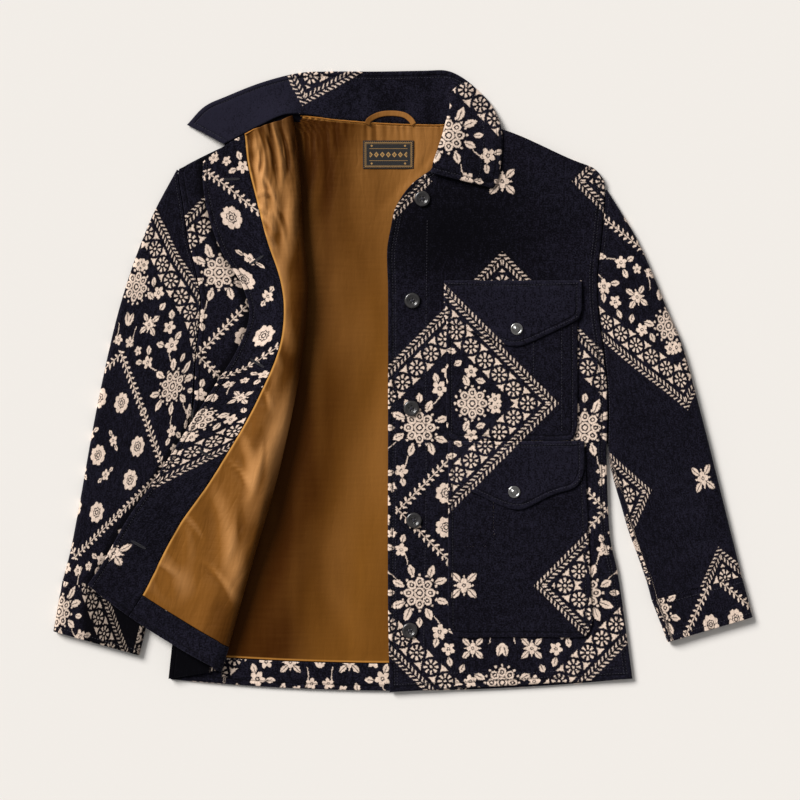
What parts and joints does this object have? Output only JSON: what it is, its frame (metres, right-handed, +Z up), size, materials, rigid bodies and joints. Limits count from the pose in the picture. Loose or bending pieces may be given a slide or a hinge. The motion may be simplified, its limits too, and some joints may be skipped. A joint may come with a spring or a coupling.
{
  "type": "mackinaw jacket",
  "caption": "Printed wool jacket laid flat, one front folded open over its sleeve to show a satin lining, with a shirt collar and flapped patch pockets.",
  "frame": {"origin": "middle of the underside's box, on the surface that the jacket lies on", "axes": "+Z up from that surface, +Y from the hem to the collar, +X towards the wearer's left sleeve"},
  "size_m": [0.838, 0.7456, 0.0264],
  "materials": {
    "wool": "napped navy wool with a cream print",
    "satin": "copper brown satin",
    "label": "woven charcoal",
    "button": "polished dark resin",
    "snap": "nickel plated"
  },
  "bodies": {
    "root": {"back": "wool", "back_hem": "wool", "left_front": "wool", "chest_pocket": "wool", "chest_flap": "wool", "lower_pocket": "wool", "lower_flap": "wool", "right_front": "wool", "right_front_facing": "wool", "right_front_hem": "wool", "left_sleeve": "wool", "left_cuff": "wool", "right_sleeve": "wool", "right_cuff": "wool", "collar": "wool", "back_lining": "satin", "right_front_lining": "satin", "hanger_loop": "satin", "neck_label": "label", "button_1": "button", "button_2": "button", "button_3": "button", "button_4": "button", "button_5": "button", "snap_1": "snap", "snap_2": "snap"}
  },
  "joints": []
}
